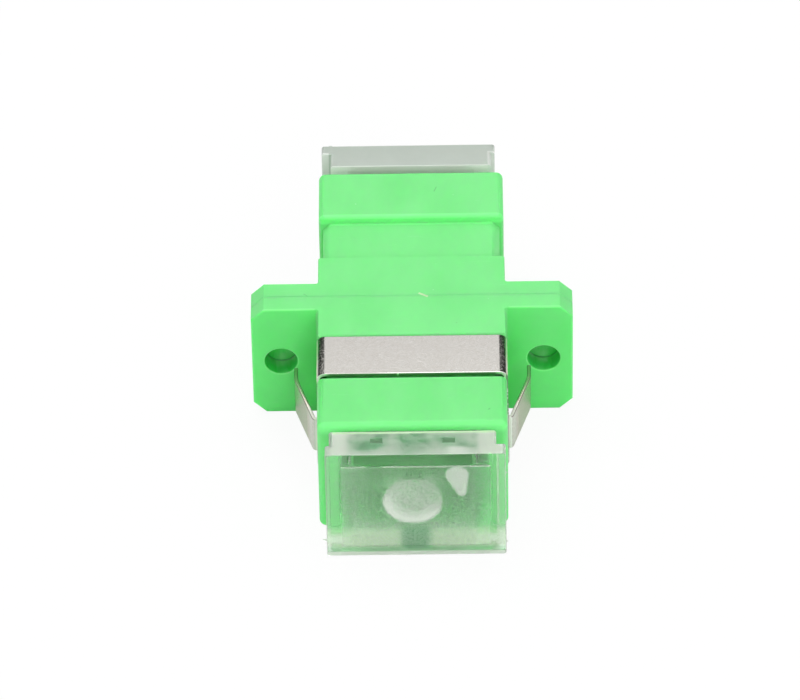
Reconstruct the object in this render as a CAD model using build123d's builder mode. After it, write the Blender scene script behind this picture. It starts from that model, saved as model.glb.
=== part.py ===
from build123d import *
import os
from math import cos, radians, sin, sqrt, tan

# A flanged simplex fibre optic adapter: two housing halves, two latch inserts, a split alignment
# sleeve, a spring clip for snapping into a panel, and a dust cap in each port.
#
# Frame: X runs across the flange, Y along the fibre, Z up. The origin is on the fibre's axis, in the
# seam between the two housing halves. The port at -Y is the front one, and it carries the clip.
# Front pieces are modelled, and each rear one is the same moulding turned half round about Z.

# Port that takes the plug, and the walls round it
port_width = 9.1
port_height = 7.5
port_lead_in = 0.35
latch_relief_depth = 0.35
latch_relief_height = 4.6
keyway_width = 2.4
keyway_depth = 0.45
keyway_length = 4.3
side_wall = 1.85
top_wall = 0.95

# Housing, each half measured from the seam
block_length = 4.15
groove_length = 4.1
mouth_length = 4.85
block_edge_bevel = 0.2
mouth_corner_radius = 0.45
mouth_edge_radius = 0.42
seam_bevel = 0.03

# Flange, half of its thickness on each housing half
flange_width = 22.0
flange_thickness = 2.76
flange_corner = 0.9
flange_root_radius = 0.2
flange_edge_bevel = 0.1
screw_hole = 2.25
screw_hole_wall = 0.875
screw_hole_bevel = 0.06
pin_diameter = 1.0
pin_height = 0.7
pin_clearance = 0.05
pin_inset = 3.5
pin_pitch = 6.6

# Groove round the housing that the clip sits in
groove_top_depth = 0.55
groove_side_depth = 0.3
groove_corner = 0.55

# Latch insert: base plate, sleeve holder and two hooked arms
pocket_side_wall = 1.15
pocket_top_wall = 0.65
base_thickness = 1.9
base_corner = 0.6
base_clearance = 0.05
arm_spread_room = 0.65
arm_thickness = 0.7
arm_height = 3.8
arm_length = 8.6
arm_tip_land = 0.45
hook_depth = 0.6
hook_land = 0.25
hook_ramp = 0.85
core_hole_margin = 0.05
holder_diameter = 4.8
holder_root_bevel = 0.3
holder_lip = 0.6
holder_lip_bore = 3.0
holder_lip_lead_in = 0.3

# Split alignment sleeve
sleeve_diameter = 3.2
ferrule_bore = 2.5
sleeve_length = 11.4
sleeve_slot = 0.5
sleeve_edge = 0.1
sleeve_side_clearance = 0.05
sleeve_end_clearance = 0.1

# Spring clip, bent from sheet
clip_thickness = 0.25
clip_top_gap = 0.3
clip_side_gap = 0.1
clip_flange_side_gap = 0.03
clip_mouth_side_gap = 0.27
clip_bend_radius = 0.4
leg_spread = 0.1
foot_bend_radius = 0.3
foot_length = 0.8
fold_radius = 0.18
wing_top = 0.55
wing_height = 2.85
wing_angle = 17.5
wing_tip_length = 1.2
wing_tip_bend_radius = 1.5
panel_gap = 1.3

# Dust cap, as it stands in the port: not quite pushed home
cap_gap = 0.65
cap_face_width = 12.1
cap_face_step = 0.075
cap_face_offset = 0.18
cap_face_thickness = 0.95
cap_face_corner = 0.2
cap_face_edge = 0.1
cap_pad_width = 10.0
cap_pad_height = 7.2
cap_pad_rise = 0.1
cap_neck_width = 11.2
cap_neck_length = 1.35
cap_neck_wall = 0.6
cap_chamber_width = 8.4
cap_ledge = 0.35
cap_plug_side_clearance = 0.22
cap_plug_top_clearance = 0.2
cap_plug_wall = 0.35
cap_plug_depth = 3.6
cap_plug_lead_in = 0.15
cap_post_diameter = 4.2
cap_post_length = 2.0
cap_post_bore = 2.4
cap_post_bore_depth = 1.3
cap_window_width = 0.85
cap_window_length = 0.5
cap_window_pitch = 4.85
cap_window_inset = 0.2

# Body section, and stations along the fibre, counted from the seam towards the front port
seam = Plane.XZ
body_width = port_width + 2 * side_wall
body_height = port_height + 2 * top_wall
latch_relief_width = port_width + 2 * latch_relief_depth
half_flange = flange_thickness / 2
screw_pitch = flange_width - screw_hole - 2 * screw_hole_wall
pin_x = flange_width / 2 - pin_inset
groove_end = block_length + groove_length
body_length = groove_end + mouth_length
pocket_width = body_width - 2 * pocket_side_wall
pocket_height = body_height - 2 * pocket_top_wall
pocket_depth = base_thickness + base_clearance
pocket_corner = base_corner + base_clearance
groove_half_width = body_width / 2 - groove_side_depth
groove_half_height = body_height / 2 - groove_top_depth


# Housing half
with BuildPart() as front_housing:
    # Body in three runs: the block at the flange, the clip groove and the block at the mouth
    with BuildSketch(seam):
        Rectangle(body_width, body_height)
    extrude(amount=block_length)
    with BuildSketch(seam.offset(block_length)) as waist:
        Rectangle(2 * groove_half_width, 2 * groove_half_height)
        chamfer(waist.vertices(), length=groove_corner)
    extrude(amount=groove_length)
    with BuildSketch(seam.offset(groove_end)):
        RectangleRounded(body_width, body_height, mouth_corner_radius)
    extrude(amount=mouth_length)
    mouth_end, *waist_ends = front_housing.faces().filter_by(Axis.Y).sort_by(Axis.Y)[:3]
    fillet(mouth_end.outer_wire().edges(), radius=mouth_edge_radius)
    chamfer(
        [edge for face in waist_ends for edge in face.outer_wire().edges()],
        length=block_edge_bevel,
    )

    # Flange, flush with the body above and below
    with BuildSketch(seam) as flange_outline:
        Rectangle(flange_width, body_height)
        chamfer(flange_outline.vertices(), length=flange_corner)
    extrude(amount=half_flange)
    flange_roots = (
        front_housing.edges()
        .filter_by(Axis.Z)
        .filter_by_position(Axis.Y, -1.01 * half_flange, -0.99 * half_flange)
        .filter_by_position(Axis.X, -0.51 * body_width, 0.51 * body_width)
    )
    fillet(flange_roots, radius=flange_root_radius)
    flange_face_edges = front_housing.edges().filter_by_position(
        Axis.Y, -1.01 * half_flange, -0.99 * half_flange
    )
    chamfer(
        [edge for edge in flange_face_edges if abs(edge.center().X) > 0.6 * body_width],
        length=flange_edge_bevel,
    )
    seam_face = front_housing.faces().sort_by(Axis.Y)[-1]
    chamfer(seam_face.outer_wire().edges(), length=seam_bevel)

    # Port, with room at the sides for the latch arms to spread, and a keyway in its floor
    with BuildSketch(seam.offset(body_length)):
        Rectangle(port_width, port_height)
        Rectangle(latch_relief_width, latch_relief_height)
    extrude(amount=-body_length, mode=Mode.SUBTRACT)
    mouth_face = front_housing.faces().sort_by(Axis.Y)[0]
    chamfer(mouth_face.inner_wires()[0].edges(), length=port_lead_in)
    with BuildSketch(seam.offset(body_length)):
        with Locations((0, -port_height / 2)):
            Rectangle(keyway_width, 2 * keyway_depth)
    extrude(amount=-keyway_length, mode=Mode.SUBTRACT)

    # Pocket at the seam that holds the insert's base plate
    with BuildSketch(seam):
        RectangleRounded(pocket_width, pocket_height, pocket_corner)
    extrude(amount=pocket_depth, mode=Mode.SUBTRACT)

    # Screw holes, then sockets in one ear and the pins that fit them on the other
    with BuildSketch(seam):
        with GridLocations(screw_pitch, 0, 2, 1):
            Circle(screw_hole / 2)
    extrude(amount=half_flange, mode=Mode.SUBTRACT)
    flange_face = front_housing.faces().filter_by_position(
        Axis.Y, -1.01 * half_flange, -0.99 * half_flange
    )
    screw_rims = flange_face.filter_by(Axis.Y).edges().filter_by(GeomType.CIRCLE).filter_by(
        lambda edge: abs(edge.radius - screw_hole / 2) < 0.01
    )
    chamfer(screw_rims, length=screw_hole_bevel)
    with BuildSketch(seam):
        with Locations((-pin_x, 0)):
            with GridLocations(0, pin_pitch, 1, 2):
                Circle(pin_diameter / 2 + pin_clearance)
    extrude(amount=pin_height + pin_clearance, mode=Mode.SUBTRACT)
    with BuildSketch(seam):
        with Locations((pin_x, 0)):
            with GridLocations(0, pin_pitch, 1, 2):
                Circle(pin_diameter / 2)
    extrude(amount=-pin_height)

with BuildPart() as rear_housing:
    add(front_housing.part.rotate(Axis.Z, 180))


# Latch insert: the sleeve holder stands on the base plate between the two hooked arms
chamber_length = sleeve_length / 2 + sleeve_end_clearance
holder_length = chamber_length + holder_lip
base_width = pocket_width - 2 * base_clearance
base_height = pocket_height - 2 * base_clearance
arm_outer_face = latch_relief_width / 2 - arm_spread_room
arm_inner_face = arm_outer_face - arm_thickness
hook_nose = arm_inner_face - hook_depth
hook_end = arm_length - hook_ramp
hook_start = hook_end - hook_land

with BuildPart() as front_latch_insert:
    with BuildSketch(seam):
        RectangleRounded(base_width, base_height, base_corner)
    extrude(amount=base_thickness)
    with BuildSketch(seam.offset(base_thickness)):
        Circle(holder_diameter / 2)
    extrude(amount=holder_length - base_thickness)
    holder_root = front_latch_insert.edges().filter_by(GeomType.CIRCLE).filter_by_position(
        Axis.Y, -1.01 * base_thickness, -0.99 * base_thickness
    )
    chamfer(holder_root.sort_by(SortBy.RADIUS)[-1], length=holder_root_bevel)

    # Arms and hooks, drawn in plan
    with BuildSketch(Plane.XY):
        with BuildLine():
            Polyline(
                (arm_inner_face, -base_thickness / 2),
                (arm_inner_face, -hook_start),
                (hook_nose, -hook_start),
                (hook_nose, -hook_end),
                (arm_outer_face - arm_tip_land, -arm_length),
                (arm_outer_face, -arm_length),
                (arm_outer_face, -base_thickness / 2),
                close=True,
            )
        make_face()
        mirror(about=Plane.YZ)
    extrude(amount=arm_height / 2, both=True)

    # Holes left in the base plate by the cores that form the hooks' undercuts
    core_hole_width = hook_depth - 2 * core_hole_margin
    with BuildSketch(seam):
        with GridLocations(2 * arm_inner_face - hook_depth, 0, 2, 1):
            Rectangle(core_hole_width, arm_height)
    extrude(amount=base_thickness, mode=Mode.SUBTRACT)

    # Sleeve chamber, and the lip that keeps the sleeve in
    with BuildSketch(seam):
        Circle(sleeve_diameter / 2 + sleeve_side_clearance)
    extrude(amount=chamber_length, mode=Mode.SUBTRACT)
    with BuildSketch(seam):
        Circle(holder_lip_bore / 2)
    extrude(amount=holder_length, mode=Mode.SUBTRACT)
    lip_face = front_latch_insert.faces().filter_by_position(
        Axis.Y, -1.01 * holder_length, -0.99 * holder_length
    )
    chamfer(lip_face.sort_by(SortBy.AREA)[-1].inner_wires()[0].edges(), length=holder_lip_lead_in)

with BuildPart() as rear_latch_insert:
    add(front_latch_insert.part.rotate(Axis.Z, 180))


# Split sleeve that lines up the two ferrules, free to float in its chamber
with BuildPart() as split_sleeve:
    with BuildSketch(seam):
        Circle(sleeve_diameter / 2)
        Circle(ferrule_bore / 2, mode=Mode.SUBTRACT)
    extrude(amount=sleeve_length / 2, both=True)
    bore_edges = split_sleeve.edges().filter_by(GeomType.CIRCLE).group_by(SortBy.RADIUS)[0]
    chamfer(bore_edges, length=sleeve_edge)
    with BuildSketch(Plane.XY):
        Rectangle(sleeve_slot, 2 * sleeve_length)
    extrude(amount=sleeve_diameter, mode=Mode.SUBTRACT)


# Spring clip: a strap over the groove, two legs with feet tucked under the groove's cut corners,
# and the front edge of each leg folded back into a wing that holds the panel against the flange
strap_z = groove_half_height + clip_top_gap + clip_thickness / 2
leg_x = groove_half_width + clip_side_gap + clip_thickness / 2
leg_foot_x = leg_x + leg_spread
cut_corner_reach = groove_half_width + groove_half_height - groove_corner
foot_z = leg_foot_x - cut_corner_reach - sqrt(2) * (clip_side_gap + clip_thickness / 2)
foot_run = foot_length / sqrt(2)
strap_start = block_length + clip_flange_side_gap
strap_end = groove_end - clip_mouth_side_gap

wing_middle = wing_top - wing_height / 2
wing_leg_x = leg_x + leg_spread * (strap_z - wing_middle) / (strap_z - foot_z)
fold_start = strap_end - fold_radius - clip_thickness / 2
fold_finish = fold_start + fold_radius * sin(radians(wing_angle))
wing_tip = half_flange + panel_gap
tip_bend_advance = wing_tip_bend_radius * tan(radians(wing_angle / 2))
wing_run = (fold_finish - wing_tip - wing_tip_length) / cos(radians(wing_angle)) - tip_bend_advance

with BuildPart() as panel_clip:
    with BuildSketch(seam.offset(strap_start)):
        with BuildLine():
            FilletPolyline(
                (-leg_foot_x + foot_run, foot_z - foot_run),
                (-leg_foot_x, foot_z),
                (-leg_x, strap_z),
                (leg_x, strap_z),
                (leg_foot_x, foot_z),
                (leg_foot_x - foot_run, foot_z - foot_run),
                radius=[
                    foot_bend_radius,
                    clip_bend_radius,
                    clip_bend_radius,
                    foot_bend_radius,
                ],
            )
        trace(line_width=clip_thickness)
    extrude(amount=strap_end - strap_start)

    # Wings in plan: along the leg, round the fold, out at the wing's angle, straight at the tip
    with BuildSketch(Plane.XY.offset(wing_top - wing_height)):
        with BuildLine():
            along_leg = Line((wing_leg_x, -(strap_start + strap_end) / 2), (wing_leg_x, -fold_start))
            fold = JernArc(along_leg @ 1, along_leg % 1, fold_radius, 180 - wing_angle)
            flare = Line(fold @ 1, fold @ 1 + (fold % 1) * wing_run)
            tip_bend = JernArc(flare @ 1, flare % 1, wing_tip_bend_radius, wing_angle)
            Line(tip_bend @ 1, ((tip_bend @ 1).X, -wing_tip))
        trace(line_width=clip_thickness)
        mirror(about=Plane.YZ)
    extrude(amount=wing_height)


# Dust cap: face plate with a raised pad, neck outside the mouth, and a hollow plug in the port
cap_face_height = body_height - 2 * cap_face_step
cap_back = body_length + cap_gap
neck_end = cap_back + cap_neck_length
face_end = neck_end + cap_face_thickness
plug_end = body_length - cap_plug_depth
plug_width = port_width - 2 * cap_plug_side_clearance
plug_height = port_height - 2 * cap_plug_top_clearance

with BuildPart() as front_dust_cap:
    with BuildSketch(seam.offset(neck_end)):
        with Locations((cap_face_offset, 0)):
            RectangleRounded(cap_face_width, cap_face_height, cap_face_corner)
    extrude(amount=cap_face_thickness)
    chamfer(front_dust_cap.faces().sort_by(Axis.Y)[0].edges(), length=cap_face_edge)
    with BuildSketch(seam.offset(face_end)):
        with Locations((cap_face_offset, 0)):
            Rectangle(cap_pad_width, cap_pad_height)
    extrude(amount=cap_pad_rise)
    with BuildSketch(seam.offset(cap_back)):
        RectangleRounded(cap_neck_width, cap_face_height, cap_face_corner)
    extrude(amount=cap_neck_length)
    with BuildSketch(seam.offset(plug_end)):
        Rectangle(plug_width, plug_height)
    extrude(amount=cap_back - plug_end)
    chamfer(front_dust_cap.faces().sort_by(Axis.Y)[-1].edges(), length=cap_plug_lead_in)

    # Hollow of the plug, and the taller chamber behind the face plate
    with BuildSketch(seam.offset(plug_end)):
        Rectangle(plug_width - 2 * cap_plug_wall, plug_height - 2 * cap_plug_wall)
    extrude(amount=neck_end - plug_end, mode=Mode.SUBTRACT)
    with BuildSketch(seam.offset(cap_back + cap_ledge)):
        Rectangle(cap_chamber_width, cap_face_height - 2 * cap_neck_wall)
    extrude(amount=cap_neck_length - cap_ledge, mode=Mode.SUBTRACT)

    # Post on the inside of the face plate, bored from its free end
    post_end = neck_end - cap_post_length
    with BuildSketch(seam.offset(neck_end)):
        Circle(cap_post_diameter / 2)
    extrude(amount=-cap_post_length)
    with BuildSketch(seam.offset(post_end)):
        Circle(cap_post_bore / 2)
    extrude(amount=cap_post_bore_depth, mode=Mode.SUBTRACT)

    # Two small windows through the neck's upper wall
    with BuildSketch(Plane.XY):
        with Locations((0, -(neck_end - cap_window_inset - cap_window_length / 2))):
            with GridLocations(cap_window_pitch, 0, 2, 1):
                Rectangle(cap_window_width, cap_window_length)
    extrude(amount=cap_face_height, mode=Mode.SUBTRACT)

# The rear cap stands in its port with the windows down
with BuildPart() as rear_dust_cap:
    add(front_dust_cap.part.rotate(Axis.Z, 180))
    mirror(about=Plane.XY, mode=Mode.REPLACE)


# Each piece goes to a file of its own
pieces = {
    "front_housing": front_housing,
    "rear_housing": rear_housing,
    "front_latch_insert": front_latch_insert,
    "rear_latch_insert": rear_latch_insert,
    "split_sleeve": split_sleeve,
    "panel_clip": panel_clip,
    "front_dust_cap": front_dust_cap,
    "rear_dust_cap": rear_dust_cap,
}
os.makedirs("parts", exist_ok=True)
for name, piece in pieces.items():
    piece.part.label = name
    export_step(piece.part, f"parts/{name}.step")
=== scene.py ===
from math import cos, radians, sin

import bpy
from mathutils import Matrix, Vector


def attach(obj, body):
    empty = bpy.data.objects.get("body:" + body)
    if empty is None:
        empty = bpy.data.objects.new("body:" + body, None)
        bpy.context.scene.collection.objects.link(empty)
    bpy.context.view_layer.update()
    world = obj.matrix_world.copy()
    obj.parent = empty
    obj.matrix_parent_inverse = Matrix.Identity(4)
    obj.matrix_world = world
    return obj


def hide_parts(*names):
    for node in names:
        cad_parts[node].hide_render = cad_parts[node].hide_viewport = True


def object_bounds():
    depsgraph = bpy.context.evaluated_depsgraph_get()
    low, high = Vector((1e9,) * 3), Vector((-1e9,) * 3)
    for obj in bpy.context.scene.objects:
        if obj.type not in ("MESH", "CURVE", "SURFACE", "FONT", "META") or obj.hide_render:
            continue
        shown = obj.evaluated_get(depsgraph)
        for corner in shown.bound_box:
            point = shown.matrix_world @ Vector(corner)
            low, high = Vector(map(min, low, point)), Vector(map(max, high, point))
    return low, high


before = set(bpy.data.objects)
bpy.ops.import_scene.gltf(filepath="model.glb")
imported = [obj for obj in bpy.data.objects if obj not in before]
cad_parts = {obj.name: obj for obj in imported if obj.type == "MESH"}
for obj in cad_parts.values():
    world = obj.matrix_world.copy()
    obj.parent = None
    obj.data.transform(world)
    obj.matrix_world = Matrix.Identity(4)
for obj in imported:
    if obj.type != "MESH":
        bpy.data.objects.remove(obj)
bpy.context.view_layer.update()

# The look of a flanged fibre optic adapter: green moulded housing, bright spring steel clip and
# translucent dust caps. Lengths are in metres, in the frame of the solids: X across the flange,
# Y along the fibre, Z up. Lengths written in millimetres are multiplied by MM.
MM = 0.001

# The photograph's view of the adapter's middle
PHOTO_WIDTH = 800
PHOTO_HEIGHT = 700
FOCAL_PIXELS = 7035
CENTRE_PIXEL = (412.4, 346.3)
VIEW_AZIMUTH = radians(0.56)
VIEW_ELEVATION = radians(41.69)
VIEW_ROLL = radians(1.10)
VIEW_DISTANCE = 0.4837
SENSOR_WIDTH = 36

# Softboxes, aimed at the adapter: place, size and power in watts
SOFTBOXES = {
    "overhead_softbox": ((-0.1, 0.25, 0.7), (0.6, 0.5), 2.2),
    "front_fill": ((0.15, -0.7, 0.45), (0.5, 0.4), 2.2),
}

# The room's brightness, as lighting and in reflections: it rises between two heights, 0 at the
# horizon and 1 overhead, from one strength to another
ROOM_LIGHT = (0.0, 0.6, 0.42, 0.93)
ROOM_REFLECTION = (0.3, 0.55, 0.18, 1.28)

# The floor is a square board a hair under the adapter, in millimetres
FLOOR_WIDTH = 3000
FLOOR_GAP = 0.02

# Edge rounding of each kind of piece, in millimetres
HOUSING_EDGE = 0.05
INSERT_EDGE = 0.05
CLIP_EDGE = 0.045
CAP_EDGE = 0.05

# Which corners are merged, in millimetres, and which edges are flat, rounded or left sharp
WELD_GAP = 0.001
FLAT_ANGLE = radians(0.5)
ROUNDED_ANGLE = radians(50)
SHARP_ANGLE = radians(40)

# Housing, in millimetres from its middle
SCREW_HOLE_PLACE = 9.0
SCREW_HOLE_RIM = 1.22
FLANGE_FACE = 1.38
BODY_SIDE = 6.4
MOUTH_START = 8.25
MOUTH_END = 13.1

# Clip, in millimetres: its strap's front edge, its wings' upper edge, and on the right wing the
# end of the step that stands behind the fold, how far its corners are from there at most, and
# the fold's start
CLIP_FRONT = -7.98
WING_TOP = 0.55
WING_STEP_END = (6.51, -6.1, WING_TOP)
WING_STEP_REACH = 0.15
WING_FOLD_START = (6.508, -7.69)

# Dust cap, in millimetres from the adapter's middle, but the pad's side and the windows from the
# face plate's and the neck's middle
CAP_FACE_OFFSET = 0.18
CAP_PAD_SIDE = 5.0
CAP_PAD_TOP = 3.6
CAP_NECK_BACK = 13.75
CAP_NECK_END = 15.1
CAP_PAD_FRONT = 16.15
CAP_WINDOW_SIDE = 2.425
CAP_WINDOW_DEPTH = 14.65

# Dust cap: the haze in its walls, as its colour, its share and how strongly painted dark green
# shade shows through the roof
CAP_HAZE = {
    "front": ((0.64, 0.7, 0.605, 1), 0.63, 1.0),
    "rear": ((0.47, 0.52, 0.47, 1), 0.88, 0.25),
}

# Flash on the caps' face plates: root in millimetres, turn in degrees, width and length
CAP_FLASH = {
    "front": (
        ((-5.87, -15.5, -3.6), -78, 0.16, 0.34),
        ((6.23, -15.6, -3.8), 96, 0.2, 0.14),
        ((6.23, -15.6, 2.5), 84, 0.16, 0.12),
    ),
    "rear": (((-5.6, 15.9, 4.625), 0, 0.3, 0.08),),
}
FLASH_TIP_RADIUS = 0.015
FLASH_ROOT_DEPTH = 0.02


class Value:
    """One output socket of a finish, with arithmetic written as Python expressions."""

    def __init__(self, finish, socket):
        self.finish = finish
        self.socket = socket

    def math(self, operation, *values):
        return self.finish.node("ShaderNodeMath", {"operation": operation}, dict(enumerate(values)))

    def __add__(self, other):
        return self.math("ADD", self, other)

    def __radd__(self, other):
        return self.math("ADD", other, self)

    def __sub__(self, other):
        return self.math("SUBTRACT", self, other)

    def __rsub__(self, other):
        return self.math("SUBTRACT", other, self)

    def __mul__(self, other):
        return self.math("MULTIPLY", self, other)

    def __rmul__(self, other):
        return self.math("MULTIPLY", other, self)

    def __pow__(self, other):
        return self.math("POWER", self, other)

    def __abs__(self):
        return self.math("ABSOLUTE", self)

    def lower(self, other):
        return self.math("MINIMUM", self, other)

    def higher(self, other):
        return self.math("MAXIMUM", self, other)

    def steps(self, start, end):
        """0 where the value is at start and 1 at end, with a smooth change between them."""
        settings = {"interpolation_type": "SMOOTHSTEP"}
        sockets = {"Value": self, "From Min": min(start, end), "From Max": max(start, end)}
        rising = self.finish.node("ShaderNodeMapRange", settings, sockets)
        return rising if start < end else 1 - rising

    def near(self, place, far, close):
        """1 within close of a place and 0 further from it than far."""
        return abs(self - place).steps(far, close)


class Finish:
    """A material whose nodes are written as expressions."""

    def __init__(self, name):
        self.material = bpy.data.materials.new(name)
        self.material.use_nodes = True
        self.tree = self.material.node_tree
        self.tree.nodes.clear()
        place = self.node("ShaderNodeTexCoord", {}, {}, "Object")
        self.place = self.node(
            "ShaderNodeVectorMath",
            {"operation": "SCALE"},
            {0: place, "Scale": 1 / MM},
        )
        self.x = self.node("ShaderNodeSeparateXYZ", {}, {0: self.place}, "X")
        self.y = self.node("ShaderNodeSeparateXYZ", {}, {0: self.place}, "Y")
        self.z = self.node("ShaderNodeSeparateXYZ", {}, {0: self.place}, "Z")

    def node(self, kind, settings, sockets, output=0):
        """Adds a node, its settings first, then its sockets' values or links."""
        node = self.tree.nodes.new(kind)
        for name, setting in settings.items():
            setattr(node, name, setting)
        for name, value in sockets.items():
            if isinstance(value, Value):
                self.tree.links.new(value.socket, node.inputs[name])
            else:
                node.inputs[name].default_value = value
        return Value(self, node.outputs[output])

    def noise(self, size, detail=2.0, stretch=(1, 1, 1), shift=0.0):
        """Noise from 0 to 1 with features of about that size in millimetres."""
        sockets = {"Vector": self.place, "Location": (shift, shift, shift), "Scale": stretch}
        place = self.node("ShaderNodeMapping", {}, sockets)
        sockets = {"Vector": place, "Scale": 1 / size, "Detail": detail}
        return self.node("ShaderNodeTexNoise", {}, sockets)

    def specks(self, spacing, radius, share, shift=0.0):
        """1 inside small round specks: that share of the cells has one."""
        sockets = {"Vector": self.place, "Location": (shift, shift, shift)}
        place = self.node("ShaderNodeMapping", {}, sockets)
        cells = {"Vector": place, "Scale": 1 / spacing}
        distance = self.node("ShaderNodeTexVoronoi", {}, cells, "Distance")
        chance = self.node("ShaderNodeTexVoronoi", {}, cells, "Color")
        chosen = self.node("ShaderNodeSeparateColor", {}, {0: chance}, 0).steps(share, share - 0.02)
        return distance.steps(radius / spacing, 0.5 * radius / spacing) * chosen

    def streak(self, start, end, width):
        """1 along a thin line between two points of a surface, in millimetres across X and Y."""
        along = Vector(end) - Vector(start)
        length = along.length
        along.normalize()
        dx = self.x - start[0]
        dy = self.y - start[1]
        run = dx * along.x + dy * along.y
        aside = abs(dy * along.x - dx * along.y)
        inside = run.steps(0, 0.1 * length) * run.steps(length, 0.9 * length)
        return inside * aside.steps(width / 2, width / 4)

    def drop(self, across, up, top, top_radius, tip, tip_radius):
        """1 inside a drop between two circles of a face, in millimetres."""
        run, fall = tip[0] - top[0], tip[1] - top[1]
        aside = across - top[0]
        above = up - top[1]
        along = (aside * run + above * fall) * (1 / (run * run + fall * fall))
        along = along.lower(1).higher(0)
        reach = distance(aside - along * run, above - along * fall)
        return (top_radius - (top_radius - tip_radius) * along - reach).steps(0, 0.35)

    def blend(self, share, first, second):
        """Colours mixed by share: first at 0, second at 1."""
        settings = {"data_type": "RGBA", "clamp_factor": True}
        sockets = {"Factor": share, 6: first, 7: second}
        return self.node("ShaderNodeMix", settings, sockets, 2)

    def coated(self, colour, *coats):
        """A colour with others laid over it in turn, each given as its share and its colour."""
        for share, coat in coats:
            colour = self.blend(share, colour, coat)
        return colour

    def bump(self, height, strength, depth):
        sockets = {"Height": height, "Strength": strength, "Distance": depth * MM}
        return self.node("ShaderNodeBump", {}, sockets)

    def surface(self, shader):
        output = self.tree.nodes.new("ShaderNodeOutputMaterial")
        self.tree.links.new(shader.socket, output.inputs["Surface"])
        return self.material


def distance(aside, above):
    return (aside * aside + above * above) ** 0.5


def green_plastic(name, colour, deep_colour):
    """Satin moulding: slightly see-through green with flow marks, dust and a few scratches, and
    painted light and shade on its seam, holes, edges, ears and mouths.
    """
    finish = Finish(name)
    flow = finish.noise(3.5, 3.0, (1, 0.5, 1)).steps(0.3, 0.75)
    dust = finish.specks(1.3, 0.06, 0.3)
    grime = finish.specks(1.9, 0.05, 0.35, 7.0)
    scuffs = finish.noise(0.5, 4.0, (0.3, 3, 1), 3.0).steps(0.66, 0.8)
    scratches = (
        finish.streak((1.78, 11.4), (1.6, 10.85), 0.08)
        + finish.streak((5.1, -11.75), (5.24, -11.6), 0.1)
        + finish.streak((-7.4, 0.25), (-7.1, 0.0), 0.06)
        + finish.streak((-4.1, 8.2), (-3.7, 8.1), 0.05)
    )
    shred = finish.streak((0.45, 0.22), (1.15, -0.2), 0.2)

    # The halves' seam, painted lighter as painted light, and the screw holes, darker inside as
    # painted shade, with a dark parting line where the seam crosses them
    aside = abs(finish.x)
    along = abs(finish.y)
    seam = along.steps(0.05, 0.02)
    hole_radius = distance(aside - SCREW_HOLE_PLACE, finish.z)
    hole = hole_radius.steps(SCREW_HOLE_RIM, SCREW_HOLE_RIM - 0.06)
    hole = hole * along.steps(FLANGE_FACE - 0.01, FLANGE_FACE - 0.08)
    parting = hole * along.steps(0.1, 0.04)

    # The flange's ears: painted highlights on the screw holes' rims and the ears' top edges, a
    # painted light tint on their faces, and painted light filling them towards the body
    rim_highlights = hole_radius.steps(SCREW_HOLE_RIM + 0.02, SCREW_HOLE_RIM - 0.02)
    rim_highlights = rim_highlights.higher(aside.steps(BODY_SIDE + 0.1, BODY_SIDE + 0.3) * finish.z.steps(4.56, 4.61))
    rim_highlights = rim_highlights * along.steps(FLANGE_FACE - 0.12, FLANGE_FACE - 0.07) * (1 - hole)
    ear = aside.steps(BODY_SIDE + 0.05, BODY_SIDE + 0.2)
    ear = ear * along.steps(FLANGE_FACE - 0.1, FLANGE_FACE - 0.04) * (1 - hole)
    ear_root_fill_light = aside.steps(8.4, 6.7) * finish.z.steps(2.0, -3.0) * along.steps(1.6, 1.4)
    ear_root_fill_light = ear_root_fill_light * (1 - hole)

    # The mouths' front faces, darker as painted shade, and painted highlights on the lips at both
    # ends of their top
    mouth_face_shade = along.steps(MOUTH_END - 0.06, MOUTH_END - 0.02) * finish.z.steps(3.9, 3.3)
    end_lip_highlight = along.steps(MOUTH_END - 0.4, MOUTH_END - 0.1) * finish.z.steps(3.7, 4.3)
    back_lip_highlight = along.near(MOUTH_START, 0.32, 0.2) * finish.z.steps(3.9, 4.2)

    body = finish.coated(
        colour,
        (flow, deep_colour),
        (scuffs * 0.1, (0.75, 0.93, 0.78, 1)),
        (dust * 0.4, (0.86, 0.95, 0.86, 1)),
        (grime * 0.35, (0.05, 0.22, 0.06, 1)),
        (scratches.lower(1) * 0.45, (0.04, 0.3, 0.08, 1)),
        # painted light along the seam, then painted shade inside the screw holes
        (seam * 0.5, (0.2, 1.0, 0.28, 1)),
        (hole * 0.8, (0.0, 0.5, 0.04, 1)),
        # painted highlights on the rims
        (rim_highlights * 0.5, (0.42, 0.92, 0.42, 1)),
        # painted highlights on the lips
        (end_lip_highlight.higher(back_lip_highlight) * 0.7, (0.25, 1.0, 0.32, 1)),
        # painted light on the ears' faces and towards their roots
        (ear * 0.35, (0.08, 0.9, 0.15, 1)),
        (ear_root_fill_light * 0.85, (0.15, 1.0, 0.22, 1)),
        # painted shade on the mouths' front faces
        (mouth_face_shade * 0.45, (0.138, 0.71, 0.175, 1)),
        (parting * 0.5, (0.0, 0.12, 0.02, 1)),
        (shred * 0.7, (0.72, 0.9, 0.5, 1)),
    )
    grain = finish.noise(0.12, 2.0)
    ripple = finish.noise(2.2, 1.0)
    shader = finish.node(
        "ShaderNodeBsdfPrincipled",
        {},
        {
            "Base Color": body,
            "Roughness": 0.36 + 0.12 * finish.noise(0.8, 3.0) + 0.15 * scuffs,
            "IOR": 1.5,
            "Subsurface Weight": 1.0,
            "Subsurface Radius": (0.3, 1.5, 0.4),
            "Subsurface Scale": 0.35 * MM,
            "Normal": finish.bump(grain * 0.3 + ripple, 0.2, 0.01),
        },
    )
    return finish.surface(shader)


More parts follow.
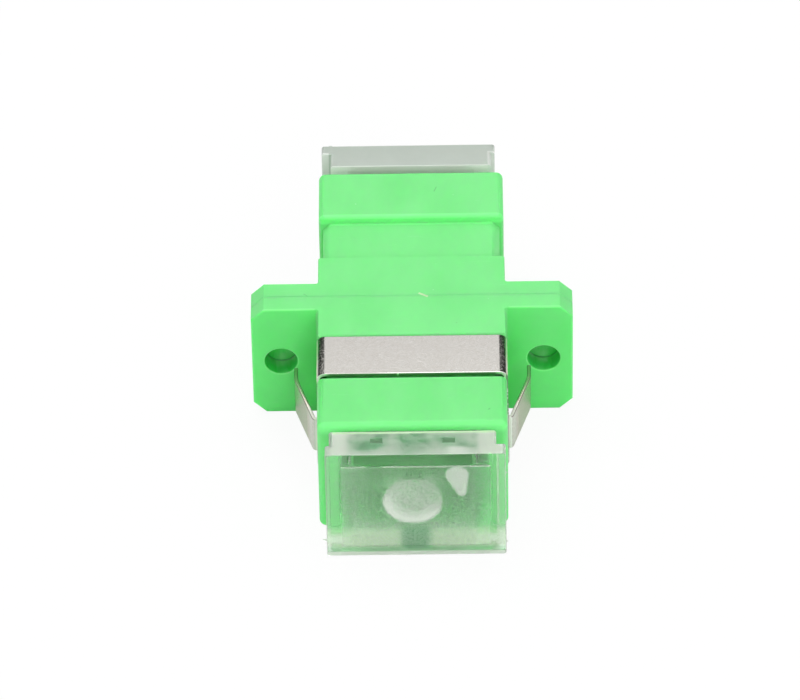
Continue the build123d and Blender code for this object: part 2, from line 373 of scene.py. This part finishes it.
def spring_steel(name):
    """Bright rolled strip: fine lengthwise grain and small scratches, with painted light and shade
    on its bends, folds, edges and legs.
    """
    finish = Finish(name)
    aside = abs(finish.x)
    grain = finish.noise(0.09, 3.0, (0.25, 2, 0.5))
    mottle = finish.noise(0.18, 2.0, shift=3.0).steps(0.3, 0.7)
    cloud = finish.noise(1.6, 3.0)
    scratches = finish.noise(0.3, 4.0, (0.2, 3, 1), 5.0).steps(0.68, 0.76)
    pits = finish.specks(0.8, 0.035, 0.3, 2.0)

    # The wings with their folds, painted lighter as painted light, and the strap's bends, painted
    # dark as a painted reflection with a painted highlight line beside them
    wing = aside.steps(6.7, 7.0)
    fold = aside.steps(6.4, 6.5) * aside.steps(7.3, 6.9) * finish.y.steps(-6.0, -6.8)
    wing_edge = aside.steps(6.62, 6.75) * finish.z.near(WING_TOP - 0.025, 0.028, 0.015)
    grit = finish.noise(0.12, 2.0, shift=6.0).steps(0.6, 0.48)
    bend = aside.steps(5.85, 5.98) * aside.steps(6.38, 6.3) * finish.z.steps(4.1, 4.3)
    bend_highlight = aside.steps(6.36, 6.42) * aside.steps(6.6, 6.5) * finish.z.steps(3.6, 4.0)

    # The sheared front edge in painted dark green shade, with painted highlights at its corners, in
    # broken patches and along its right half
    sheared = finish.y.steps(CLIP_FRONT + 0.03, CLIP_FRONT + 0.005)
    edge_glints = finish.noise(0.4, 2.0, (1, 0.1, 0.1), 8.0).steps(0.64, 0.68)
    corner = aside.steps(5.5, 5.9)
    rim = finish.y.steps(CLIP_FRONT + 0.045, CLIP_FRONT + 0.035)
    rim = rim * finish.y.steps(CLIP_FRONT + 0.01, CLIP_FRONT + 0.02) * finish.x.steps(-2.8, -1.4)

    # The legs' edges mirror the green beside them, the right one's between sparkles
    left_leg = finish.x.steps(-6.2, -6.3) * finish.z.steps(4.1, 3.7)
    left_leg = left_leg * finish.z.steps(WING_TOP + 0.05, WING_TOP + 0.35)
    right_leg = finish.x.steps(6.3, 6.38) * finish.x.steps(6.56, 6.53)
    right_leg = right_leg * finish.y.steps(CLIP_FRONT + 0.1, CLIP_FRONT + 0.05)
    right_leg = right_leg * finish.z.steps(WING_TOP + 0.05, WING_TOP + 0.15)
    gaps = finish.noise(0.22, 1.0, shift=12.0).steps(0.56, 0.5).higher(finish.z.steps(3.0, 3.3))

    steel = finish.coated(
        (0.53, 0.515, 0.485, 1),
        (cloud, (0.48, 0.465, 0.44, 1)),
        (pits * 0.6, (0.25, 0.24, 0.22, 1)),
        (wing, (0.61, 0.52, 0.47, 1)),
        # painted light: the folds lighter than the strip
        (fold, (0.75, 0.75, 0.7, 1)),
        (mottle * 0.26, (0.4, 0.37, 0.34, 1)),
        # painted reflection: dark bends, with a painted highlight beside them
        (bend * (0.55 + 0.45 * grit), (0.04, 0.04, 0.035, 1)),
        (bend_highlight * 0.8, (0.95, 0.9, 0.78, 1)),
        # painted shade on the sheared edge, then painted highlights on it
        (sheared, (0.3, 0.34, 0.28, 1)),
        (sheared * edge_glints.higher(corner), (0.9, 0.89, 0.85, 1)),
        (rim, (0.95, 0.95, 0.92, 1)),
        (sheared * left_leg, (0.1, 0.3, 0.12, 1)),
        (right_leg * gaps * 0.85, (0.12, 0.3, 0.12, 1)),
        (wing_edge * 0.8, (0.14, 0.12, 0.1, 1)),
        (scratches * 0.35, (0.62, 0.61, 0.59, 1)),
    )
    roughness = 0.17 + 0.08 * grain + 0.05 * cloud
    roughness = roughness + 0.15 * (sheared + bend) + 0.3 * bend_highlight + 0.4 * fold
    shader = finish.node(
        "ShaderNodeBsdfPrincipled",
        {},
        {
            "Base Color": steel,
            "Metallic": 1.0,
            "Roughness": roughness,
            "Normal": finish.bump(grain + 0.6 * scratches, 0.25, 0.006),
        },
    )
    return finish.surface(shader)


def ceramic(name):
    """Ground zirconia: warm white and glossy, with the finest grinding marks."""
    finish = Finish(name)
    marks = finish.noise(0.15, 3.0, (4, 0.3, 4))
    shade = finish.blend(marks, (0.86, 0.84, 0.78, 1), (0.93, 0.92, 0.88, 1))
    shader = finish.node(
        "ShaderNodeBsdfPrincipled",
        {},
        {
            "Base Color": shade,
            "Roughness": 0.12 + 0.1 * marks,
            "IOR": 2.1,
            "Normal": finish.bump(marks, 0.1, 0.005),
        },
    )
    return finish.surface(shader)


class CapPattern:
    """Where a point of a dust cap is, and where its parts and marks are: 1 there and 0 elsewhere.

    Facing is -1 for the front cap and 1 for the rear one, which is the front one turned through
    the origin, so that both carry the same marks.
    """

    def __init__(self, finish, facing):
        self.across = finish.x * -facing
        self.depth = finish.y * facing
        self.height = finish.z * -facing
        self.aside = abs(self.across - CAP_FACE_OFFSET)
        self.find_parts()
        self.find_windows()
        self.find_disc()
        self.find_pad_marks(finish)
        self.find_roof_marks(finish)

    def find_parts(self):
        across, depth, height, aside = self.across, self.depth, self.height, self.aside
        self.face = depth.steps(CAP_PAD_FRONT - 0.17, CAP_PAD_FRONT - 0.12)
        self.pad = (
            depth.steps(CAP_PAD_FRONT - 0.08, CAP_PAD_FRONT - 0.02)
            * aside.steps(CAP_PAD_SIDE, CAP_PAD_SIDE - 0.1)
            * abs(height).steps(CAP_PAD_TOP, CAP_PAD_TOP - 0.1)
        )
        self.plug = depth.steps(CAP_NECK_BACK - 0.05, CAP_NECK_BACK - 0.15)
        self.hollow = (
            abs(across).steps(4.45, 4.35)
            * abs(height).steps(4.25, 4.15)
            * depth.steps(CAP_NECK_END + 0.1, CAP_NECK_END + 0.05)
        )
        self.outer = (1 - self.hollow) * (1 - self.plug) * (1 - self.face)
        self.roof = height.steps(4.4, 4.55)
        self.sill = self.face * height.steps(-4.1, -4.25)
        self.plug_corner = self.plug * aside.steps(4.0, 4.1) * abs(height).steps(3.25, 3.35)
        self.post = (
            distance(across, height).steps(2.4, 2.2)
            * depth.steps(12.8, 13.0)
            * depth.steps(CAP_NECK_END, CAP_NECK_END - 0.1)
        )
        self.plate_side = self.outer * aside.steps(5.6, 5.9) * height.steps(-2.4, -1.6)
        self.plate_side *= depth.steps(CAP_NECK_END + 0.1, CAP_NECK_END + 0.25)
        self.plate_back = self.outer * aside.steps(5.5, 5.6)
        self.plate_back *= depth.steps(CAP_NECK_END + 0.2, CAP_NECK_END + 0.1)
        self.neck_back = (1 - self.plug) * height.steps(4.66, 4.6)
        self.neck_back *= depth.steps(CAP_NECK_BACK + 0.08, CAP_NECK_BACK + 0.03)

    def find_windows(self):
        """The walls of the roof's two windows and the roof round them, where painted dark green
        shade goes.
        """
        aside = abs(self.across)
        self.window_wall = (
            aside.near(CAP_WINDOW_SIDE, 0.75, 0.4)
            * self.depth.near(CAP_WINDOW_DEPTH, 0.5, 0.25)
            * self.height.steps(3.8, 4.0)
        )
        self.window_shade = (
            aside.near(CAP_WINDOW_SIDE + 0.15, 1.3, 0.4)
            * self.depth.near(CAP_WINDOW_DEPTH, 0.9, 0.25)
            * self.roof
        )

    def find_disc(self):
        """The post's root seen through the pad, with a painted highlight on its lower edge and a
        painted glow over it.
        """
        across, height = self.across, self.height
        radius = distance(across, height - 0.55)
        self.disc = radius.steps(2.3, 1.8)
        self.crescent = self.disc * radius.steps(0.7, 2.0)
        self.crescent *= (height + across * 0.35).steps(1.4, -0.8)
        self.halo = radius.steps(3.3, 2.1) * height.steps(1.2, 2.2)
        self.halo *= abs(across).steps(0.3, 0.9) * (1 - self.disc)

    def find_pad_marks(self, finish):
        """The gate, painted light from the plug's floor beside a column of painted shade, the mould
        line and painted highlights along the pad's edges.
        """
        across, height, aside = self.across, self.height, self.aside
        self.gate = finish.drop(across, height, (2.95, 2.78), 0.98, (3.25, 1.2), 0.5)
        column = across.near(0.15, 1.35, 0.55)
        self.bands = height.steps(-1.5, -2.5) * height.steps(-3.95, -3.55) * (1 - column)
        self.column_shade = column * height.steps(-1.2, -2.2) * height.steps(-4.1, -3.9)
        self.mould_line = across.near(-0.05, 0.05, 0.02) * height.steps(-1.6, -1.9)
        pad_top_highlight = height.near(CAP_PAD_TOP - 0.03, 0.05, 0.02) * (1 - across.near(-2.6, 0.7, 0.4))
        pad_top_highlight *= aside.steps(CAP_PAD_SIDE, CAP_PAD_SIDE - 0.05)
        pad_side_highlight = aside.near(CAP_PAD_SIDE, 0.05, 0.02) * 0.35
        pad_side_highlight *= abs(height).steps(CAP_PAD_TOP, CAP_PAD_TOP - 0.05)
        self.pad_edge_highlight = pad_top_highlight.higher(pad_side_highlight)

    def find_roof_marks(self, finish):
        """The gate's foot on the roof, the lit back edge, and painted dark green shade on the roof
        with a patch of it on the left.
        """
        across, depth, roof = self.across, self.depth, self.roof
        blotch = finish.noise(1.3, 2.0, shift=11.0).steps(0.4, 0.65)
        self.gate_top = roof * across.near(2.95, 1.1, 0.2)
        self.gate_top *= depth.steps(CAP_NECK_END, CAP_NECK_END + 0.4)
        self.back_edge = roof * depth.steps(CAP_NECK_BACK + 0.26, CAP_NECK_BACK + 0.14)
        self.left_shade_patch = roof * across.near(-3.1, 1.5, 0.4) * depth.near(15.2, 0.9, 0.2)
        self.roof_green_shade = roof * abs(across).steps(4.6, 4.1)
        self.roof_green_shade *= depth.steps(CAP_PAD_FRONT + 0.8, CAP_NECK_END)
        self.roof_green_shade *= 0.3 + 0.4 * blotch + 0.35 * abs(across).steps(1.6, 0.5)


def cap_plastic(name, facing, wall, cloudiness, shade):
    """Translucent polyethylene: clear rim, pebbled pad on the face, cloudy walls and gate mark.

    Wall is the colour of the haze in the walls, cloudiness its share, and shade how strongly the
    painted dark green shade shows through the roof.
    """
    finish = Finish(name)
    cap = CapPattern(finish, facing)
    across, depth, height, aside = cap.across, cap.depth, cap.height, cap.aside
    cloud = finish.noise(1.8, 4.0)
    swirl = finish.noise(0.7, 3.0, (1, 1, 0.4), 4.0)
    frost = finish.noise(0.16, 2.0)
    pebbles = finish.noise(0.15, 1.0, shift=9.0)
    glints = finish.specks(0.35, 0.055, 0.35, 5.0) * height.steps(3.0, -1.0)
    grain = 0.85 + 0.3 * finish.noise(0.12, 1.0, shift=2.0).steps(0.3, 0.7)
    back_edge = cap.back_edge * shade

    # Pale marks on the face plate, mostly painted light: highlights, glints, a glow, light from the
    # plug's floor and a pale sill along the bottom
    pad_disc = cap.disc * (0.36 + 0.1 * frost.steps(0.4, 0.6))
    pad_disc = pad_disc * (1 - 0.1 * (across + height).steps(0.5, 2.5))
    sparkle = frost.steps(0.55, 0.68) * height.steps(2.5, 0.0) * (1 - cap.disc) * (1 - cap.gate)
    pale = (pad_disc + cap.crescent * 0.42 + cap.halo * 0.25).higher(cap.gate * 0.55) * grain
    pale = (pale + cap.mould_line * 0.12 + glints * 0.35 + sparkle * 0.15) * cap.pad
    pale = pale + (cap.bands * grain * 0.3 + cap.pad_edge_highlight * 0.4) * cap.face
    lit = (pale * 2.5).lower(1).higher(cap.sill)

    # The green housing painted on the pad's sides, and painted dark green shade on the roof
    green = cap.face * (1 - lit)
    dim = cap.roof_green_shade + cap.window_shade * 0.3 + cap.left_shade_patch * 0.35
    dim = dim * shade * (1 - cap.gate_top) * (1 - back_edge)
    dim = dim.higher(cap.window_wall * 0.68).higher(cap.column_shade * cap.face).lower(1)
    milk = finish.coated(
        wall,
        (lit.higher(cap.gate_top * 0.6), (0.74, 0.81, 0.72, 1)),
        (green, (0.24, 0.76, 0.3, 1)),
        (green * cap.pad * across.steps(5.0, 3.4), (0.38, 0.66, 0.4, 1)),
        (cap.bands * cap.face * 0.5, (0.62, 0.88, 0.5, 1)),
        # painted light: the neck's and plate's back faces lighter than their shade, and a highlight
        # on the roof's back edge
        (cap.neck_back, (0.82, 0.8, 0.79, 1)),
        (cap.plate_back, (0.7, 0.72, 0.69, 1)),
        (back_edge * 0.8, (0.6, 0.86, 0.5, 1)),
        (dim, (0.09, 0.34, 0.14, 1)),
    )

    # Haze: how much of the milky colour is seen instead of what is behind the wall
    haze = cap.outer.higher(cap.neck_back) * cloudiness * (0.9 + 0.2 * cloud)
    haze = haze * (1 - 0.6 * cap.plate_side)
    haze = haze * (1 - 0.9 * shade * cap.plate_back.higher(cap.neck_back))
    haze = haze.higher(cap.plug_corner * 0.35) + back_edge * 0.2
    beside = aside.steps(2.4, 4.6) * aside.steps(5.3, 4.9)
    frame_sides = height.steps(4.4, 3.4).higher(aside.steps(4.8, 5.0))
    haze = haze + 0.03 + green * (0.1 + 0.17 * beside) * frame_sides
    haze = haze + cap.column_shade * cap.face * 0.34 + pale + cap.sill * 0.45
    haze = haze + cap.face * height.steps(-3.6, -3.8) * 0.15
    rough = (0.26 + 0.12 * height.steps(2.0, 0.0)) * (1 - 0.85 * cap.disc)
    rough = rough * (1 - 0.5 * cap.gate) * (1 - 0.5 * cap.column_shade)
    haze = haze + cap.pad * (0.05 + (frost.steps(0.35, 0.65) - 0.5) * rough)
    chamber_back = cap.hollow * (1 - cap.plug)
    chamber_back = chamber_back * depth.steps(CAP_NECK_BACK + 0.6, CAP_NECK_BACK + 0.4)
    haze = haze + chamber_back * (1 - shade) * 0.6
    haze = haze.higher(cap.window_wall * 0.75).lower(0.95)

    clear = finish.node(
        "ShaderNodeBsdfPrincipled",
        {},
        {
            "Base Color": (0.95, 0.985, 0.95, 1),
            "Roughness": 0.08 + cap.outer * (0.34 + 0.1 * swirl) + cap.pad * 0.4,
            "IOR": 1.4,
            "Transmission Weight": 1.0,
            "Normal": finish.bump(swirl * 0.3 + cap.pad * (pebbles + 0.3 * frost), 0.5, 0.008),
        },
    )
    milky = finish.node(
        "ShaderNodeBsdfPrincipled",
        {},
        {
            "Base Color": milk,
            "Roughness": 0.35,
            "Subsurface Weight": 1.0,
            "Subsurface Radius": (1.0, 1.0, 1.0),
            "Subsurface Scale": 0.3 * MM,
            "Normal": finish.bump(swirl + frost * 0.4, 0.3, 0.02),
        },
    )
    seen = finish.node("ShaderNodeMixShader", {}, {0: haze, 1: clear, 2: milky})
    passing = finish.node("ShaderNodeBsdfTransparent", {}, {"Color": (0.93, 0.97, 0.93, 1)})
    shadow = finish.node("ShaderNodeLightPath", {}, {}, "Is Shadow Ray")
    unseen = (shadow * 0.93).higher(cap.post * 0.8)
    return finish.surface(finish.node("ShaderNodeMixShader", {}, {0: unseen, 1: seen, 2: passing}))


def pale_floor(name):
    """White board: it shows as white to the camera and keeps a faint soft shadow."""
    finish = Finish(name)
    board = finish.node("ShaderNodeBsdfDiffuse", {}, {"Color": (0.9, 0.9, 0.9, 1)})
    white = finish.node("ShaderNodeEmission", {}, {"Color": (1, 1, 1, 1), "Strength": 1.0})
    direct = finish.node("ShaderNodeLightPath", {}, {}, "Is Camera Ray")
    through = finish.node("ShaderNodeLightPath", {}, {}, "Is Transmission Ray")
    share = direct * 0.93 + through * 0.3
    return finish.surface(finish.node("ShaderNodeMixShader", {}, {0: share, 1: board, 2: white}))


def deselect_all():
    bpy.ops.object.select_all(action="DESELECT")


def make_active(piece):
    deselect_all()
    piece.select_set(True)
    bpy.context.view_layer.objects.active = piece


def close_wing_steps(clip):
    """Draws the end of the step behind each wing's fold, thinner than the rounding, to the fold."""
    end_x, end_y, end_z = WING_STEP_END
    fold_x, fold_y = WING_FOLD_START
    for corner in clip.data.vertices:
        side = 1 if corner.co.x > 0 else -1
        step_end = MM * Vector((end_x * side, end_y, end_z))
        if (corner.co - step_end).length < WING_STEP_REACH * MM:
            corner.co = (fold_x * side * MM, fold_y * MM, corner.co.z)


def softened_copy(node_name, name, edge, clamped=True):
    """A copy of a moulded or bent node with its sharp edges rounded, which stands for it.

    Unclamped rounding keeps its width where a short edge would narrow it everywhere.
    """
    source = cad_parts[node_name]
    piece = bpy.data.objects.new(name, source.data.copy())
    bpy.context.scene.collection.objects.link(piece)
    piece.data.materials.clear()
    make_active(piece)
    bpy.ops.object.mode_set(mode="EDIT")
    bpy.ops.mesh.select_all(action="SELECT")
    bpy.ops.mesh.remove_doubles(threshold=WELD_GAP * MM)
    bpy.ops.mesh.dissolve_limited(angle_limit=FLAT_ANGLE, delimit=set())
    bpy.ops.object.mode_set(mode="OBJECT")
    rounding = piece.modifiers.new("edges", "BEVEL")
    rounding.width = edge * MM
    rounding.segments = 2
    rounding.limit_method = "ANGLE"
    rounding.angle_limit = ROUNDED_ANGLE
    rounding.use_clamp_overlap = clamped
    bpy.ops.object.modifier_apply(modifier="edges")
    if not clamped:
        close_wing_steps(piece)
    bpy.ops.object.shade_smooth_by_angle(angle=SHARP_ANGLE)
    flatten = piece.modifiers.new("flat_faces", "WEIGHTED_NORMAL")
    flatten.keep_sharp = True
    flatten.weight = 80
    bpy.ops.object.modifier_apply(modifier="flat_faces")
    return piece


def finish_piece(piece, body, slot, material, *stands_for):
    piece.data.materials.clear()
    piece.data.materials.append(material)
    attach(piece, body)
    if stands_for:
        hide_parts(*stands_for)


def add_adapter():
    housing = green_plastic("housing_green", (0.188, 0.77, 0.24, 1), (0.158, 0.738, 0.208, 1))
    insert = green_plastic("insert_green", (0.13, 0.74, 0.17, 1), (0.11, 0.68, 0.14, 1))
    steel = spring_steel("clip_steel")
    for end in ("front", "rear"):
        shell = softened_copy(f"{end}_housing", f"{end}_housing_moulding", HOUSING_EDGE)
        finish_piece(shell, "adapter", "housing", housing, f"{end}_housing")
        latch = softened_copy(f"{end}_latch_insert", f"{end}_latch_moulding", INSERT_EDGE)
        finish_piece(latch, "adapter", "latch_insert", insert, f"{end}_latch_insert")
    strip = softened_copy("panel_clip", "panel_clip_strip", CLIP_EDGE, clamped=False)
    finish_piece(strip, "adapter", "clip", steel, "panel_clip")
    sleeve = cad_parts["split_sleeve"]
    sleeve.data.materials.clear()
    sleeve.data.materials.append(ceramic("sleeve_ceramic"))


def add_burr(name, root, turn, width, length):
    """A small spike of flash: it stands at root and points up, or aside when turned."""
    turn = radians(turn)
    reach = length / 2 - FLASH_ROOT_DEPTH
    centre = (root[0] + sin(turn) * reach, root[1], root[2] + cos(turn) * reach)
    deselect_all()
    bpy.ops.mesh.primitive_cone_add(
        vertices=12,
        radius1=width / 2 * MM,
        radius2=FLASH_TIP_RADIUS * MM,
        depth=length * MM,
        location=[value * MM for value in centre],
        rotation=(0, turn, 0),
    )
    burr = bpy.context.object
    burr.name = name
    bpy.ops.object.transform_apply(location=True, rotation=True, scale=True)
    return burr


def add_caps():
    for end, facing in (("front", -1), ("rear", 1)):
        material = cap_plastic(f"{end}_cap_plastic", facing, *CAP_HAZE[end])
        cap = softened_copy(f"{end}_dust_cap", f"{end}_cap_moulding", CAP_EDGE)
        finish_piece(cap, f"{end}_cap", "dust_cap", material, f"{end}_dust_cap")
        for index, (root, turn, width, length) in enumerate(CAP_FLASH[end]):
            burr = add_burr(f"{end}_cap_flash_{index}", root, turn, width, length)
            finish_piece(burr, f"{end}_cap", "dust_cap", material)


def add_floor():
    low, _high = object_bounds()
    place = (0, 0, low[2] - FLOOR_GAP * MM)
    bpy.ops.mesh.primitive_plane_add(size=FLOOR_WIDTH * MM, location=place)
    floor = bpy.context.object
    floor.name = "floor"
    floor.data.materials.append(pale_floor("white_board"))


def add_softbox(name, place, size, power):
    lamp = bpy.data.lights.new(name, "AREA")
    lamp.shape = "RECTANGLE"
    lamp.size, lamp.size_y = size
    lamp.energy = power
    softbox = bpy.data.objects.new(name, lamp)
    softbox.location = place
    softbox.rotation_euler = (-Vector(place)).to_track_quat("-Z", "Y").to_euler()
    bpy.context.scene.collection.objects.link(softbox)


def add_room():
    """A white room that is dimmer near the horizon.

    Reflections see a steeper change between the dim horizon and the bright ceiling, and what is
    seen straight or through a dust cap is white.
    """
    world = bpy.data.worlds.new("room")
    bpy.context.scene.world = world
    world.use_nodes = True
    tree = world.node_tree
    tree.nodes.clear()
    output = tree.nodes.new("ShaderNodeOutputWorld")
    coordinate = tree.nodes.new("ShaderNodeTexCoord")
    split = tree.nodes.new("ShaderNodeSeparateXYZ")
    tree.links.new(coordinate.outputs["Generated"], split.inputs[0])
    path = tree.nodes.new("ShaderNodeLightPath")

    def gradient(low, high, dim, bright):
        ramp = tree.nodes.new("ShaderNodeMapRange")
        ramp.interpolation_type = "SMOOTHSTEP"
        ramp.inputs["From Min"].default_value = low
        ramp.inputs["From Max"].default_value = high
        ramp.inputs["To Min"].default_value = dim
        ramp.inputs["To Max"].default_value = bright
        tree.links.new(split.outputs["Z"], ramp.inputs["Value"])
        return ramp.outputs["Result"]

    def mixed(factor, first, second):
        mix = tree.nodes.new("ShaderNodeMix")
        tree.links.new(factor, mix.inputs[0])
        tree.links.new(first, mix.inputs[2])
        tree.links.new(second, mix.inputs[3])
        return mix.outputs[0]

    def higher(first, second):
        node = tree.nodes.new("ShaderNodeMath")
        node.operation = "MAXIMUM"
        tree.links.new(first, node.inputs[0])
        tree.links.new(second, node.inputs[1])
        return node.outputs[0]

    reflected = gradient(*ROOM_REFLECTION)
    strength = mixed(path.outputs["Is Glossy Ray"], gradient(*ROOM_LIGHT), reflected)
    plain = higher(path.outputs["Is Camera Ray"], path.outputs["Is Transmission Ray"])
    background = tree.nodes.new("ShaderNodeBackground")
    tree.links.new(higher(strength, plain), background.inputs["Strength"])
    tree.links.new(background.outputs[0], output.inputs["Surface"])


def add_studio():
    add_room()
    for name, (place, size, power) in SOFTBOXES.items():
        add_softbox(name, place, size, power)
    bpy.context.scene.view_settings.view_transform = "Standard"


def add_camera():
    back = Vector(
        (
            sin(VIEW_AZIMUTH) * cos(VIEW_ELEVATION),
            -cos(VIEW_AZIMUTH) * cos(VIEW_ELEVATION),
            sin(VIEW_ELEVATION),
        )
    )
    level_right = Vector((0, 0, 1)).cross(back).normalized()
    level_up = back.cross(level_right)
    right = level_right * cos(VIEW_ROLL) - level_up * sin(VIEW_ROLL)
    up = level_right * sin(VIEW_ROLL) + level_up * cos(VIEW_ROLL)
    aside = (CENTRE_PIXEL[0] - PHOTO_WIDTH / 2) / FOCAL_PIXELS
    above = (PHOTO_HEIGHT / 2 - CENTRE_PIXEL[1]) / FOCAL_PIXELS
    place = VIEW_DISTANCE * (back - right * aside - up * above)
    lens = bpy.data.cameras.new("camera")
    lens.sensor_width = SENSOR_WIDTH
    lens.lens = FOCAL_PIXELS / PHOTO_WIDTH * SENSOR_WIDTH
    lens.clip_start = 0.01
    camera = bpy.data.objects.new("camera", lens)
    turn = Matrix((right, up, back)).transposed().to_4x4()
    camera.matrix_world = Matrix.Translation(place) @ turn
    bpy.context.scene.collection.objects.link(camera)
    bpy.context.scene.camera = camera


add_camera()
add_adapter()
add_caps()
add_floor()
add_studio()
